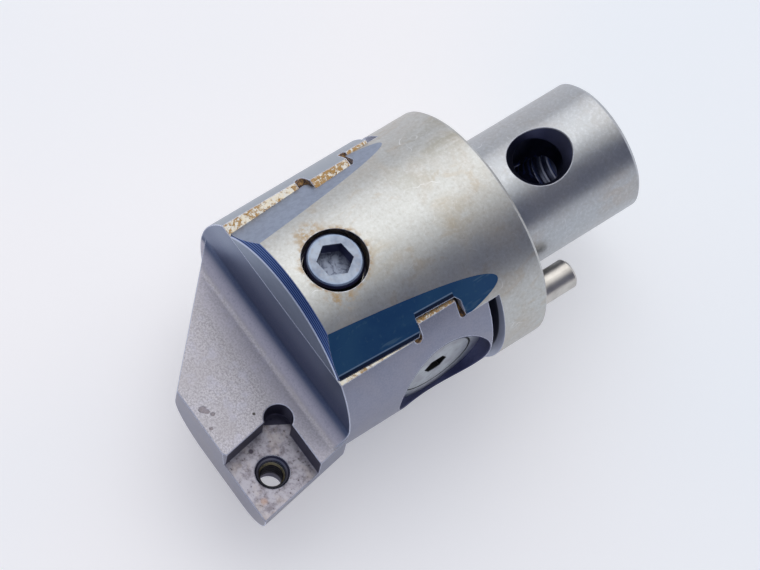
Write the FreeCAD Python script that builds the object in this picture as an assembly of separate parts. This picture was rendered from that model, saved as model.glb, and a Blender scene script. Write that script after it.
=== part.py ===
import FreeCAD, Part
import math
import os

from FreeCAD import Vector

# Precision boring head with a T slide, in millimetres.
# The origin is on the tool axis, in the flange face that seats on the holder.
# +Y runs along the axis towards the pilot shank, +X along the slide towards
# the cutting tip, and +Z up through the clamp screw. Depths along the head
# are counted from the flange face towards the front, so they lie at -Y.

# Body and pilot shank
body_radius = 16.0
body_length = 30.4
front_chamfer_length = 1.0
front_chamfer_depth = 1.1
flange_chamfer = 0.4
shank_radius = 9.0
shank_length = 20.5
shank_chamfer = 0.5

# Cross hole and axial thread in the shank
cross_hole_depth = 9.24
cross_hole_mouth_radius = 3.9
cross_hole_radius = 3.2
cross_hole_end_radius = 2.8
cross_hole_cone_height = 1.0
cross_hole_floor = 5.0
rear_thread_radius = 3.35
rear_thread_length = 8.5
rear_mouth_chamfer = 0.6

# Drive pin
pin_radius = 2.0
pin_reach = 6.3
pin_seat_depth = 5.2
pin_chamfer = 0.35
pin_neck_radius = 1.8
pin_neck_reach = 0.3
pin_fit_clearance = 0.01

# Milled flats along the four jaw edges: direction of their normals, distance from the
# axis at the front face, and where each runs out into the round wall
flat_angle = 45.0
flat_distance = 15.14
right_flat_end_depth = 6.3
left_flat_end_depth = 7.7

# T slide: its half heights follow from the jaws' thickness and the steps between its
# guide, tongue and tail; its lengths are from the adjusting screw's axis
jaw_thickness = 6.25
tongue_step = 1.35
tail_step = 0.25
tongue_ahead = 2.7
tongue_behind = 2.9
slide_behind = 7.1
relief_radius = 0.6
tail_relief_radius = 0.5
slide_radius = 16.0
slide_travel_in = 2.05
slide_travel_out = 2.95

# T slot in the body
guide_clearance = 0.03
tongue_top_gap = 0.5
tongue_rear_gap = 0.7
slot_floor_gap = 1.55
lip_chamfer = 0.45
slot_corner_radius = 0.6

# Insert holder on the slide's front
rake_level = -0.8
nose_front = 44.4
nose_corner_x = -1.3
nose_back_angle = 44.4
nose_tip_x = 18.0
nose_side_angle = 10.0
nose_front_relief = 5.0
nose_edge_radius = 4.8
wall_fillet_radius = 2.5

# Insert pocket for an 80 degree rhombic insert
insert_circle = 9.525
seat_centre_x = 13.05
seat_centre_y = -39.65
seat_preload = 0.1
seat_depth = 3.2
seat_mouth_bevel = 0.45
insert_thread_radius = 1.65
insert_thread_chamfer = 0.6
corner_hole_radius = 1.87
corner_hole_offset_x = 1.0
corner_hole_offset_y = 0.9

# Clamp screw and washer
clamp_ahead = 7.9
clamp_thread_radius = 2.5
clamp_thread_clearance = 0.05
clamp_hole_clearance = 0.15
clamp_slot_clearance = 0.3
clamp_head_radius = 3.75
clamp_head_sink = 0.2
clamp_head_height = 3.2
clamp_head_chamfer = 0.45
clamp_socket_flats = 4.0
clamp_socket_depth = 2.2
clamp_tip_sink = 1.2
clamp_bore_radius = 4.2
washer_radius = 3.9
washer_thickness = 0.6

# Adjusting screw, which lies across the slide
screw_depth = 15.5
screw_thread_radius = 2.5
screw_thread_clearance = 0.05
dial_radius = 5.15
dial_height = 2.15
dial_socket_flats = 3.0
dial_socket_depth = 2.6
dial_recess = 2.1
dial_gap = 0.1
spot_face_radius = 6.95
vernier_thickness = 1.0
vernier_press = 0.01
journal_radius = 3.0
journal_clearance = 0.03
tail_journal_radius = 2.0
bush_wall = 1.2
bush_seat_clearance = 0.01
bush_end_gap = 0.65
thrust_washer_thickness = 0.5
seal_section = 0.84
seal_setback = 0.48
seal_gap = 0.02

# Travel nut and its grub screw
nut_radius = 3.6
nut_ahead = 3.5
nut_seat_depth = 1.6
nut_seat_clearance = 0.01
pocket_clearance = 0.3
grub_radius = 3.0
grub_length = 6.2
grub_socket_flats = 3.0
grub_socket_depth = 3.0
thread_fit_clearance = 0.02

# Spring pack, lock nut and plug at the far end of the adjusting screw
spring_count = 4
spring_radius = 4.0
spring_bore_clearance = 0.1
spring_thickness = 0.3
spring_cone = 0.2
spring_washer_thickness = 0.4
pack_gap = 0.02
pack_bore_radius = 4.3
lock_nut_flats = 7.0
lock_nut_height = 1.3
plug_height = 1.0
plug_gap = 0.3
plug_slot_width = 1.0
plug_slot_depth = 0.7
plug_setback = 0.15

# Allowances for cutting tools, for finding edges, and the place of the turned faces' seam
overshoot = 2.0
reach = 40.0
tolerance = 0.001
seam_angle = 22.5

X = Vector(1, 0, 0)
Y = Vector(0, 1, 0)
Z = Vector(0, 0, 1)


def cylinder(radius, start, direction, length):
    return Part.makeCylinder(radius, length, start, direction)


def tube(outer, inner, start, direction, length):
    return cylinder(outer, start, direction, length).cut(cylinder(inner, start, direction, length))


def box(low, high):
    size = high.sub(low)
    return Part.makeBox(size.x, size.y, size.z, low)


def prism(points, direction):
    outline = Part.makePolygon(points + [points[0]])
    return Part.Face(outline).extrude(direction)


def turned(profile):
    """Revolve (radius, y) pairs about the tool axis, with the seam clear of the cross hole."""
    seam = math.radians(seam_angle)
    side = X * math.cos(seam) + Z * math.sin(seam)
    points = [side * radius + Y * y for radius, y in profile]
    outline = Part.makePolygon(points + [points[0]])
    return Part.Face(outline).revolve(Vector(0, 0, 0), Y, 360)


def hexagon(flats, start, direction, length):
    """Hexagonal bar whose flats are the given distance apart."""
    corner = flats / math.sqrt(3)
    side = Y if abs(direction.y) < 0.5 else X
    across = direction.cross(side)
    points = []
    for step in range(6):
        angle = math.radians(60 * step)
        offset = side * (corner * math.cos(angle)) + across * (corner * math.sin(angle))
        points.append(start + offset)
    return prism(points, direction * length)


def socket(flats, mouth, direction, depth):
    """Flat-bottomed hexagon socket, cut from mouth inwards."""
    return hexagon(flats, mouth - direction * overshoot, direction, depth + overshoot)


def obround(half_width, half_travel, start, direction, length, along):
    """Bar with round ends: two cylinders a travel apart and the block between them."""
    first = cylinder(half_width, start - along * half_travel, direction, length)
    last = cylinder(half_width, start + along * half_travel, direction, length)
    side = direction.cross(along)
    corners = []
    for sign_along, sign_side in ((-1, -1), (1, -1), (1, 1), (-1, 1)):
        corners.append(start + along * (sign_along * half_travel) + side * (sign_side * half_width))
    return first.fuse(last).fuse(prism(corners, direction * length))


def mirrored(points):
    """Complete a (y, z) outline that runs above the axis with its mirror below it."""
    return points + [(y, -z) for y, z in reversed(points)]


def across(outline, start_x, length):
    points = [Vector(start_x, y, z) for y, z in outline]
    return prism(points, X * length)


# Places that more than one piece is made from
slide_x = (slide_travel_in - slide_travel_out) / 2
front_y = -body_length
screw_axis_y = -screw_depth
tongue_front_y = screw_axis_y - tongue_ahead
tongue_rear_y = screw_axis_y + tongue_behind
slide_rear_y = screw_axis_y + slide_behind
slot_floor_y = slide_rear_y + slot_floor_gap
clamp_y = screw_axis_y - clamp_ahead
guide_height = body_radius - jaw_thickness
tongue_height = guide_height + tongue_step
tail_height = guide_height - tail_step
pin_circle_radius = (shank_radius + body_radius) / 2
clamp_head_top = body_radius - clamp_head_sink
clamp_tip_level = clamp_tip_sink - body_radius
nut_front_y = screw_axis_y - nut_ahead
rear_thread_y = shank_length - rear_thread_length
half_travel = (slide_travel_in + slide_travel_out) / 2
spot_face_x = slide_x + slide_radius - dial_recess
dial_bore_radius = dial_radius + dial_gap
dial_seat_x = spot_face_x - dial_height - thrust_washer_thickness
bush_radius = journal_radius + bush_wall
tail_bush_radius = tail_journal_radius + bush_wall
pocket_radius = nut_radius + pocket_clearance
pocket_half_length = pocket_radius + half_travel
pocket_left_x = slide_x - pocket_half_length
pocket_right_x = slide_x + pocket_half_length
dial_bush_start_x = pocket_right_x + bush_end_gap
dial_bush_length = dial_seat_x - dial_bush_start_x
plug_radius = pack_bore_radius - thread_fit_clearance
plug_face_x = slide_x - math.sqrt(slide_radius ** 2 - plug_radius ** 2) + plug_setback
lock_nut_end_x = plug_face_x + plug_height + plug_gap
spring_washer_end_x = lock_nut_end_x + lock_nut_height + pack_gap
spring_height = spring_thickness + spring_cone
pack_start_x = spring_washer_end_x + spring_washer_thickness + spring_count * (spring_height + pack_gap)
end_bush_end_x = pocket_left_x - pack_gap
end_bush_length = end_bush_end_x - pack_start_x
washer_seat_level = clamp_head_top - clamp_head_height - washer_thickness


def flat_cutter(end_depth, side, jaw):
    """Space outside one jaw flat; side is -1 or 1 along X, jaw along Z."""
    turn = math.radians(flat_angle)
    lean = math.atan2(body_radius - flat_distance, body_length - end_depth)
    out = Vector(side * math.cos(turn), 0, jaw * math.sin(turn))
    normal = out * math.cos(lean) - Y * math.sin(lean)
    along = Y * math.cos(lean) + out * math.sin(lean)
    half_width = along.cross(normal) * body_radius
    start = out * flat_distance + Y * front_y - along * overshoot
    end = start + along * reach
    corners = [start - half_width, end - half_width, end + half_width, start + half_width]
    return prism(corners, normal * reach)


def body_blank():
    front_radius = body_radius - front_chamfer_depth
    profile = [
        (0, front_y),
        (front_radius, front_y),
        (body_radius, front_y + front_chamfer_length),
        (body_radius, -flange_chamfer),
        (body_radius - flange_chamfer, 0),
        (shank_radius, 0),
        (shank_radius, shank_length - shank_chamfer),
        (shank_radius - shank_chamfer, shank_length),
        (0, shank_length),
    ]
    return turned(profile)


def t_slot():
    """Space between the jaws, open to the front and to both sides."""
    lip_y = tongue_front_y - guide_clearance
    guide = guide_height + guide_clearance
    groove_top = tongue_height + tongue_top_gap
    groove_rear_y = tongue_rear_y + tongue_rear_gap
    corner = slot_corner_radius
    upper = [
        (front_y - overshoot, guide),
        (lip_y - lip_chamfer, guide),
        (lip_y, guide + lip_chamfer),
        (lip_y, groove_top),
        (groove_rear_y - corner, groove_top),
        (groove_rear_y, groove_top - corner),
        (groove_rear_y, tail_height + guide_clearance),
        (slot_floor_y, tail_height + guide_clearance),
    ]
    return across(mirrored(upper), -reach / 2, reach)


def shank_holes():
    """Cross hole with a conical mouth, and the axial thread that it meets."""
    centre = Vector(0, cross_hole_depth, 0)
    mouth_level = math.sqrt(shank_radius ** 2 - cross_hole_mouth_radius ** 2)
    cone_start = centre + Z * (mouth_level - cross_hole_cone_height)
    floor = centre - Z * cross_hole_floor
    bore = cylinder(cross_hole_radius, centre, Z, shank_radius + overshoot)
    bore_end = cylinder(cross_hole_end_radius, floor, Z, cross_hole_floor + tolerance)
    growth = (cross_hole_mouth_radius - cross_hole_radius) / cross_hole_cone_height
    cone_height = cross_hole_cone_height + overshoot
    cone = Part.makeCone(
        cross_hole_radius, cross_hole_radius + growth * cone_height, cone_height, cone_start, Z)
    rear_thread = cylinder(rear_thread_radius, Vector(0, rear_thread_y, 0), Y, rear_thread_length + overshoot)
    chamfer_start = Vector(0, shank_length - rear_mouth_chamfer, 0)
    mouth = Part.makeCone(
        rear_thread_radius, rear_thread_radius + 2 * rear_mouth_chamfer,
        2 * rear_mouth_chamfer, chamfer_start, Y)
    grub_hole = cylinder(
        grub_radius + thread_fit_clearance, Vector(0, -nut_seat_depth, 0), Y, nut_seat_depth + rear_thread_y)
    nut_seat = cylinder(
        nut_radius + nut_seat_clearance, Vector(0, slot_floor_y - overshoot, 0), Y,
        overshoot - slot_floor_y - nut_seat_depth)
    shape = bore
    for cutter in (bore_end, cone, rear_thread, mouth, grub_hole, nut_seat):
        shape = shape.fuse(cutter)
    return shape


def clamp_holes():
    """Counterbore and hole in the upper jaw, thread in the lower jaw."""
    centre = Vector(0, clamp_y, 0)
    counterbore = cylinder(clamp_bore_radius, centre + Z * washer_seat_level, Z, reach / 2)
    hole = cylinder(clamp_thread_radius + clamp_hole_clearance, centre, Z, reach / 2)
    thread = cylinder(clamp_thread_radius + clamp_thread_clearance, centre - Z * reach / 2, Z, reach / 2)
    return counterbore.fuse(hole).fuse(thread)


def pin_hole():
    start = Vector(pin_circle_radius, -pin_seat_depth - thread_fit_clearance, 0)
    return cylinder(pin_radius + pin_fit_clearance, start, Y, pin_seat_depth + overshoot)


def make_body():
    shape = body_blank().cut(t_slot())
    for jaw in (-1, 1):
        shape = shape.cut(flat_cutter(right_flat_end_depth, 1, jaw))
        shape = shape.cut(flat_cutter(left_flat_end_depth, -1, jaw))
    return shape.cut(shank_holes()).cut(clamp_holes()).cut(pin_hole())


def make_drive_pin():
    start = Vector(pin_circle_radius, -pin_seat_depth, 0)
    length = pin_seat_depth + pin_reach
    shape = cylinder(pin_radius, start, Y, length - pin_chamfer)
    tip = Part.makeCone(
        pin_radius, pin_radius - pin_chamfer, pin_chamfer, start + Y * (length - pin_chamfer), Y)
    neck = tube(
        pin_radius + overshoot, pin_neck_radius, Vector(pin_circle_radius, -pin_neck_reach, 0), Y,
        2 * pin_neck_reach)
    return shape.fuse(tip).cut(neck).removeSplitter()


def slide_block():
    """T section across the head, turned to the slide's own radius at both ends."""
    upper = [
        (front_y, guide_height),
        (tongue_front_y, guide_height),
        (tongue_front_y, tongue_height),
        (tongue_rear_y, tongue_height),
        (tongue_rear_y, tail_height),
        (slide_rear_y, tail_height),
    ]
    block = across(mirrored(upper), slide_x - reach / 2, reach)
    for jaw in (-1, 1):
        front_relief = Vector(slide_x - reach / 2, tongue_front_y - relief_radius, jaw * guide_height)
        tail_relief = Vector(slide_x - reach / 2, tongue_rear_y + tail_relief_radius, jaw * tail_height)
        block = block.cut(cylinder(relief_radius, front_relief, X, reach))
        block = block.cut(cylinder(tail_relief_radius, tail_relief, X, reach))
    turning = cylinder(slide_radius, Vector(slide_x, front_y - overshoot, 0), Y, reach)
    return block.common(turning)


def nose_plan(level):
    """Outline of the insert holder seen from above, at a level."""
    back_run = (nose_front - body_length) / math.tan(math.radians(nose_back_angle))
    side_run = (nose_front - body_length) * math.tan(math.radians(nose_side_angle))
    return [
        Vector(nose_corner_x - back_run, front_y, level),
        Vector(nose_corner_x, -nose_front, level),
        Vector(nose_tip_x, -nose_front, level),
        Vector(nose_tip_x - side_run, front_y, level),
    ]


def long_lower_edges(shape):
    """The two lower edges of the holder that aren't in its front or back face."""
    chosen = []
    for edge in shape.Edges:
        ends = [vertex.Point for vertex in edge.Vertexes]
        low = max(point.z for point in ends) < tolerance - guide_height
        run = abs(ends[0].y - ends[1].y)
        if low and run > (nose_front - body_length) / 2:
            chosen.append(edge)
    return chosen


def nose_block():
    """Insert holder in front of the slide, with its lower edges rounded."""
    holder = prism(nose_plan(-guide_height), Z * (guide_height + rake_level))
    holder = holder.makeFillet(nose_edge_radius, long_lower_edges(holder))
    lean = math.tan(math.radians(nose_front_relief))
    drop = guide_height + rake_level + overshoot
    wedge = [
        Vector(-reach, -nose_front, rake_level),
        Vector(-reach, -nose_front + lean * drop, rake_level - drop),
        Vector(-reach, -nose_front - overshoot, rake_level - drop),
        Vector(-reach, -nose_front - overshoot, rake_level),
    ]
    return holder.cut(prism(wedge, X * (2 * reach)))


def wall_fillet():
    """Hollow blend between the slide's front wall and the rake flat."""
    radius = wall_fillet_radius
    low = Vector(slide_x - reach / 2, front_y - radius, rake_level)
    high = Vector(slide_x + reach / 2, front_y, rake_level + radius)
    hollow = cylinder(radius, Vector(slide_x - reach / 2, front_y - radius, rake_level + radius), X, reach)
    turning = cylinder(slide_radius, Vector(slide_x, front_y - reach / 2, 0), Y, reach)
    plan = prism(nose_plan(rake_level), Z * radius)
    return box(low, high).cut(hollow).common(turning).common(plan)


def insert_pocket():
    """Seat, thread and relieved corner for the insert."""
    half = insert_circle / 2 - seat_preload
    angle = math.radians(nose_side_angle)
    back_y = seat_centre_y + half

    def left_x(y):
        return seat_centre_x - half / math.cos(angle) - math.tan(angle) * (y - seat_centre_y)

    bevel_y = -nose_front + seat_mouth_bevel
    outside_y = -nose_front - overshoot
    floor = rake_level - seat_depth
    outline = [
        Vector(left_x(back_y), back_y, floor),
        Vector(left_x(bevel_y), bevel_y, floor),
        Vector(left_x(bevel_y) - seat_mouth_bevel - overshoot, outside_y, floor),
        Vector(reach, outside_y, floor),
        Vector(reach, back_y, floor),
    ]
    pocket = prism(outline, Z * (seat_depth + overshoot))
    corner = Vector(left_x(back_y) + corner_hole_offset_x, back_y - corner_hole_offset_y, 0)
    relief = cylinder(corner_hole_radius, corner + Z * floor, Z, seat_depth + overshoot)
    centre = Vector(seat_centre_x, seat_centre_y, floor)
    thread = cylinder(insert_thread_radius, centre - Z * reach / 2, Z, reach / 2 + overshoot)
    mouth = Part.makeCone(
        insert_thread_radius, insert_thread_radius + insert_thread_chamfer,
        insert_thread_chamfer, centre - Z * insert_thread_chamfer, Z)
    return pocket.fuse(relief).fuse(thread).fuse(mouth)


def slide_bores():
    """Slot for the clamp screw, room for the travel nut, and the adjusting screw's bores."""
    clamp_slot = obround(
        clamp_thread_radius + clamp_slot_clearance, half_travel,
        Vector(slide_x, clamp_y, -reach / 2), Z, reach, X)
    pocket_front_y = nut_front_y - pocket_clearance
    nut_pocket = obround(
        pocket_radius, half_travel, Vector(slide_x, pocket_front_y, 0), Y, -pocket_front_y, X)
    axis_point = Vector(slide_x, screw_axis_y, 0)
    dial_side = cylinder(bush_radius + bush_seat_clearance, axis_point, X, dial_seat_x - slide_x)
    dial_bore = cylinder(
        dial_bore_radius, Vector(dial_seat_x, screw_axis_y, 0), X, reach / 2)
    ring_bore = cylinder(
        spot_face_radius, Vector(spot_face_x - vernier_thickness, screw_axis_y, 0), X, reach / 2)
    far_side = cylinder(tail_bush_radius + bush_seat_clearance, axis_point, -X, slide_x - pack_start_x)
    pack_bore = cylinder(
        pack_bore_radius, Vector(pack_start_x, screw_axis_y, 0), -X, reach / 2)
    cutters = [nut_pocket, dial_side, dial_bore, ring_bore, far_side, pack_bore]
    shape = clamp_slot
    for cutter in cutters:
        shape = shape.fuse(cutter)
    return shape


def make_slide():
    shape = slide_block().fuse(nose_block()).fuse(wall_fillet())
    return shape.cut(insert_pocket()).cut(slide_bores()).removeSplitter()


def make_clamp_screw():
    head_start = clamp_head_top - clamp_head_height
    centre = Vector(0, clamp_y, 0)
    shaft = cylinder(clamp_thread_radius, centre + Z * clamp_tip_level, Z, head_start - clamp_tip_level)
    head = cylinder(clamp_head_radius, centre + Z * head_start, Z, clamp_head_height - clamp_head_chamfer)
    crown = Part.makeCone(
        clamp_head_radius, clamp_head_radius - clamp_head_chamfer, clamp_head_chamfer,
        centre + Z * (clamp_head_top - clamp_head_chamfer), Z)
    hole = socket(clamp_socket_flats, centre + Z * clamp_head_top, -Z, clamp_socket_depth)
    return shaft.fuse(head).fuse(crown).cut(hole).removeSplitter()


def make_clamp_washer():
    start = Vector(0, clamp_y, washer_seat_level)
    return tube(washer_radius, clamp_thread_radius + clamp_hole_clearance, start, Z, washer_thickness)


def make_adjusting_screw():
    axis_point = Vector(0, screw_axis_y, 0)
    head_x = dial_seat_x + thrust_washer_thickness
    head = cylinder(dial_radius, axis_point + X * head_x, X, dial_height)
    groove = tube(
        dial_radius + overshoot, dial_radius - seal_section, axis_point + X * (head_x + seal_setback), X,
        seal_section)
    journal_start_x = dial_bush_start_x - pack_gap
    journal = cylinder(journal_radius, axis_point + X * journal_start_x, X, head_x - journal_start_x)
    thread = cylinder(
        screw_thread_radius, axis_point + X * end_bush_end_x, X, journal_start_x - end_bush_end_x)
    tail_end_x = lock_nut_end_x
    tail = cylinder(tail_journal_radius, axis_point + X * tail_end_x, X, end_bush_end_x - tail_end_x)
    hole = socket(dial_socket_flats, axis_point + X * (head_x + dial_height), -X, dial_socket_depth)
    return head.cut(groove).fuse(journal).fuse(thread).fuse(tail).cut(hole).removeSplitter()


def make_vernier_ring():
    start = Vector(spot_face_x - vernier_thickness, screw_axis_y, 0)
    return tube(spot_face_radius - vernier_press, dial_bore_radius, start, X, vernier_thickness)


def make_thrust_washer():
    start = Vector(dial_seat_x, screw_axis_y, 0)
    return tube(dial_radius, journal_radius + dial_gap, start, X, thrust_washer_thickness)


def make_seal_ring():
    """Square section seal in the dial head's groove."""
    start = Vector(dial_seat_x + thrust_washer_thickness + seal_setback + seal_gap, screw_axis_y, 0)
    outer = dial_bore_radius - seal_gap
    return tube(outer, dial_radius - seal_section + seal_gap, start, X, seal_section - 2 * seal_gap)


def make_dial_bush():
    start = Vector(dial_bush_start_x, screw_axis_y, 0)
    return tube(bush_radius, journal_radius + journal_clearance, start, X, dial_bush_length)


def make_end_bush():
    start = Vector(pack_start_x, screw_axis_y, 0)
    return tube(tail_bush_radius, tail_journal_radius + journal_clearance, start, X, end_bush_length)


def make_spring(index):
    """One coned disc spring; every second one is turned over so that they stack in pairs."""
    bore = tail_journal_radius + spring_bore_clearance
    near_x = pack_start_x - pack_gap / 2 - index * (spring_height + pack_gap)
    far_x = near_x - spring_height
    if index % 2 == 0:
        outline = [
            (near_x - spring_cone, spring_radius),
            (far_x, spring_radius),
            (near_x - spring_thickness, bore),
            (near_x, bore),
        ]
    else:
        outline = [
            (near_x, spring_radius),
            (near_x - spring_thickness, spring_radius),
            (far_x, bore),
            (near_x - spring_cone, bore),
        ]
    points = [Vector(x, screw_axis_y + radius, 0) for x, radius in outline]
    face = Part.Face(Part.makePolygon(points + [points[0]]))
    return face.revolve(Vector(0, screw_axis_y, 0), X, 360)


def make_spring_washer():
    start = Vector(spring_washer_end_x, screw_axis_y, 0)
    return tube(spring_radius, tail_journal_radius + spring_bore_clearance, start, X, spring_washer_thickness)


def make_lock_nut():
    start = Vector(lock_nut_end_x, screw_axis_y, 0)
    bore = cylinder(tail_journal_radius + thread_fit_clearance, start, X, lock_nut_height)
    return hexagon(lock_nut_flats, start, X, lock_nut_height).cut(bore)


def make_end_plug():
    start = Vector(plug_face_x, screw_axis_y, 0)
    slot_low = start + Vector(0, -plug_radius, -plug_slot_width / 2)
    slot_high = start + Vector(plug_slot_depth, plug_radius, plug_slot_width / 2)
    return cylinder(plug_radius, start, X, plug_height).cut(box(slot_low, slot_high))


def make_travel_nut():
    start = Vector(0, nut_front_y, 0)
    bar = cylinder(nut_radius, start, Y, -nut_front_y - nut_seat_depth)
    thread_radius = screw_thread_radius + screw_thread_clearance
    thread = cylinder(thread_radius, Vector(-reach / 2, screw_axis_y, 0), X, reach)
    return bar.cut(thread)


def make_nut_screw():
    start = Vector(0, -nut_seat_depth, 0)
    shape = cylinder(grub_radius, start, Y, grub_length)
    return shape.cut(socket(grub_socket_flats, start + Y * grub_length, -Y, grub_socket_depth))


def save(name, shape):
    shape.exportStep("parts/" + name + ".step")


def main():
    os.makedirs("parts", exist_ok=True)
    save("body", make_body())
    save("drive_pin", make_drive_pin())
    save("slide", make_slide())
    save("clamp_screw", make_clamp_screw())
    save("clamp_washer", make_clamp_washer())
    save("adjusting_screw", make_adjusting_screw())
    save("vernier_ring", make_vernier_ring())
    save("thrust_washer", make_thrust_washer())
    save("seal_ring", make_seal_ring())
    save("dial_bush", make_dial_bush())
    save("end_bush", make_end_bush())
    for index in range(spring_count):
        save("spring_" + str(index + 1), make_spring(index))
    save("spring_washer", make_spring_washer())
    save("lock_nut", make_lock_nut())
    save("end_plug", make_end_plug())
    save("travel_nut", make_travel_nut())
    save("nut_screw", make_nut_screw())


main()
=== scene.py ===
import math

import bpy
import bmesh
from mathutils import Matrix, Vector


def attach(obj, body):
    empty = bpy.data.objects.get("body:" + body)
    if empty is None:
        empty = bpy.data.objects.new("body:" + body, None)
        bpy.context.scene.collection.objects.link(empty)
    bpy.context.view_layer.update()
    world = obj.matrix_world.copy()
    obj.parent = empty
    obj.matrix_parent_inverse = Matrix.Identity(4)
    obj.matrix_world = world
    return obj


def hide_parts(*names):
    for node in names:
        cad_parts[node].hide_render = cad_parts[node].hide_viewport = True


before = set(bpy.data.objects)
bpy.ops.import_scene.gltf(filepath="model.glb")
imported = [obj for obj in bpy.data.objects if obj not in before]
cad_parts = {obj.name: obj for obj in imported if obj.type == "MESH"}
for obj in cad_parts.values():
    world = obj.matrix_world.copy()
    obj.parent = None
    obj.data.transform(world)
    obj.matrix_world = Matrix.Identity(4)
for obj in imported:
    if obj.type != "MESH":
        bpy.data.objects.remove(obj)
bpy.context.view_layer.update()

# Places, radii and lengths are in millimetres and become metres where they are used.
# Scales of textures and waves are per metre.
MM = 0.001

# Photograph's camera, solved from the object's circles and edges
CAMERA_PLACE = (116.51276, -154.39215, 383.90973)
CAMERA_RIGHT = Vector((0.58043227, 0.80575818, 0.11769512))
CAMERA_DOWN = Vector((0.76743599, -0.4929491, -0.4099307))
CAMERA_FORWARD = Vector((-0.27228731, 0.32826048, -0.90449139))
CAMERA_LENS = 160.2
SENSOR_WIDTH = 36.0

# Studio, in metres and watts
LAMP_PLACE = (-0.50, 0.35, 0.75)
LAMP_AIM = (0, -0.012, 0)
LAMP_SIZE = 1.1
LAMP_WATTS = 2.4
LAMP_COLOR = (1.0, 0.99, 0.97)
FLOOR_HALF = 3.0
FLOOR_GLOW = 0.43
PAPER = ((0.735, 0.76, 0.79), (0.79, 0.78, 0.79))
HORIZON = (0.84, 0.85, 0.90)
CEILING = ((0.60, 0.61, 0.66), (0.93, 0.94, 0.96))
CEILING_WAY = (0.02, 0.36, 0.93)
DARK_SIDE = (0.13, 0.14, 0.20)
DARK_WAY = (0.80, 0.30, 0.50)
BLUE_SIDE = (0.075, 0.105, 0.21)
BLUE_WAY = (0.20, -0.92, 0.34)

# Places on the part, as the CAD has them
FLOOR_LEVEL = -16.0
GUIDE_LEVEL = 9.4
RAKE_LEVEL = -0.8
SEAT_LEVEL = -4.0
SEAT_CENTRE = (13.05, -39.65, SEAT_LEVEL)
CLAMP_CENTRE = (0.0, -23.4, 0.0)
DIAL_CENTRE = (0.0, -15.5, 0.0)
DIAL_FACE_X = 13.45
FORWARD = (0, -1, 0)
RIGHT_FLAT = (0.7067, -0.0357, 0.7067)
LEFT_FLAT = (-0.7066, -0.0379, 0.7066)
FLAT_LEAN = (0.99965, 0.9998)
NOSE_SIDE = (0.985, 0.174, 0.0)
RELIEF_WAY = (-0.866, 0.5, 0.0)
UNDERCUTS = ((-19.3, -18.1), (-12.7, -11.5))

# Painted shade band (the dark lip) along the guide on the right-hand flats: its height, what the
# tongue and the part behind it add, and where these two begin and end
LIP_LEVEL = 9.78
LIP_OVER_TONGUE = 1.82
LIP_BEHIND_TONGUE = -0.25
TONGUE_FRONT = (-18.30, -18.20)
TONGUE_BACK = (-12.60, -12.50)

# Waves of turned lines and of the thread that show as shading, in radians per metre
CHAMFER_RINGS = 34000.0
BORE_THREAD = 7800.0
TURNED_LINES = 5200.0

# Colours; a pair is what a noise or a wave runs between
STEEL = (0.51, 0.515, 0.50)
STAIN = (0.50, 0.46, 0.40)
SMEAR = (0.45, 0.38, 0.29)
SPECKS = (0.38, 0.33, 0.28)
SHANK_STEEL = (0.38, 0.405, 0.455)
GRIT_DARK = (0.34, 0.33, 0.30)
GRIT_LIGHT = (0.70, 0.72, 0.74)
NICK = (0.86, 0.87, 0.89)
BORE_RUST = (0.53, 0.34, 0.13)
BODY_EDGE_HIGHLIGHT = (0.66, 0.70, 0.84)
FLAT_BLUE_REFLECTION = ((0.027, 0.090, 0.215), (0.036, 0.110, 0.225))
FLAT_REAR_REFLECTION = (0.05, 0.125, 0.26)
FLAT_SPECKS = (0.075, 0.17, 0.25)
FLAT_STREAKS = (0.20, 0.32, 0.38)
LEFT_FLAT_REFLECTION = (0.30, 0.345, 0.44)
LIP_SHADE = (0.018, 0.022, 0.045)
LIP_HIGHLIGHT = (0.30, 0.40, 0.52)
CHAMFER_REFLECTION = ((0.025, 0.045, 0.12), (0.11, 0.18, 0.42))
JAW_FRONT_REFLECTION = ((0.22, 0.27, 0.36), (0.28, 0.33, 0.42))
JAW_BORDER_HIGHLIGHT = (0.66, 0.72, 0.86)
BORE_SHADE_AND_GLINT = ((0.055, 0.06, 0.12), (0.14, 0.19, 0.42))
COUNTERBORE_SHADE = (0.05, 0.045, 0.10)
SLOT_FLOOR_LIGHT = (0.62, 0.66, 0.92)
SLOT_RIM_REFLECTION = (0.75, 0.80, 0.95)
SLOT_DEEP_SHADE = (0.03, 0.035, 0.07)

HOLDER = (0.42, 0.405, 0.44)
HOLDER_CLOUD = (0.38, 0.36, 0.38)
HOLDER_SHEEN = (0.50, 0.50, 0.62)
SLIDE_EDGE_HIGHLIGHT = (0.78, 0.83, 0.97)
WALL_REFLECTION = ((0.09, 0.125, 0.225), (0.17, 0.215, 0.32))
FILLET_REFLECTION = (0.68, 0.65, 0.72)
WALL_SPECKS = (0.26, 0.27, 0.36)
FOOT_REFLECTION = (0.50, 0.48, 0.56)
CREAM = ((0.56, 0.555, 0.53), (0.62, 0.55, 0.42))
FLECKS = (0.66, 0.60, 0.47)
RUST = (0.58, 0.34, 0.115)
DEEP_RUST = (0.12, 0.055, 0.03)
UNDERCUT_RUST = ((0.46, 0.27, 0.10), (0.09, 0.06, 0.06))
SLIDE_SIDE_REFLECTION = ((0.235, 0.255, 0.34), (0.27, 0.28, 0.355))
LEFT_END = (0.42, 0.46, 0.50)
NOSE_UNDERSIDE = ((0.26, 0.27, 0.34), (0.30, 0.295, 0.34))
POCKET_WALL_SHADE = (0.07, 0.065, 0.11)
SEAT = ((0.42, 0.405, 0.455), (0.235, 0.215, 0.245))
SEAT_WARM = (0.52, 0.45, 0.40)
SEAT_DOTS = (0.10, 0.08, 0.09)
SCREW_HOLE_SHADE = ((0.05, 0.045, 0.08), (0.30, 0.30, 0.35))
RELIEF = (0.03, 0.03, 0.06)
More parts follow.
